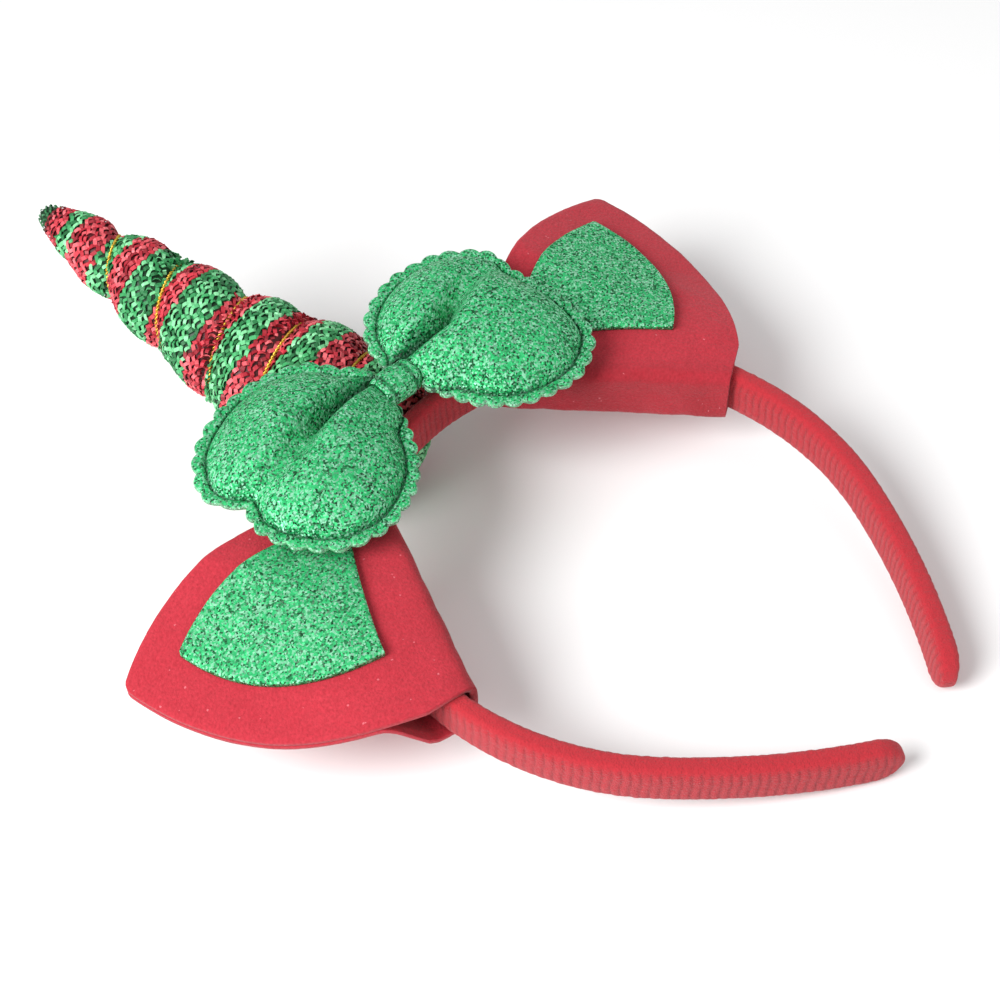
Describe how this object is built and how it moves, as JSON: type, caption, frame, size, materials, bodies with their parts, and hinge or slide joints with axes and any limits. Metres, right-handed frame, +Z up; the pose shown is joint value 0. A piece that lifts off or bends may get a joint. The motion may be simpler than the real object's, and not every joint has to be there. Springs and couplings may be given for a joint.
{
  "type": "unicorn headpiece",
  "caption": "Costume headband with a stuffed striped unicorn horn, felt ears with glitter patches and a padded scalloped glitter bow, lying on its back.",
  "frame": {"origin": "middle of the footprint, on the surface that the piece lies on", "axes": "+Z up from the surface; +Y towards the tip of the horn; +X to the side of the ear on the right seen from above"},
  "size_m": [0.1932, 0.2648, 0.0602],
  "materials": {
    "fleece": "ribbed brushed knit",
    "felt": "matt felt",
    "glitter": "fine glitter",
    "tinsel": "shiny knitted tape in red and green rings",
    "gold": "metallic twisted cord"
  },
  "bodies": {
    "root": {"headband": "fleece", "horn": "tinsel", "horn_cord": "gold", "ear_right": "felt", "ear_left": "felt", "ear_patch_right": "glitter", "ear_patch_left": "glitter", "bow": "glitter", "bow_knot": "glitter"}
  },
  "joints": []
}
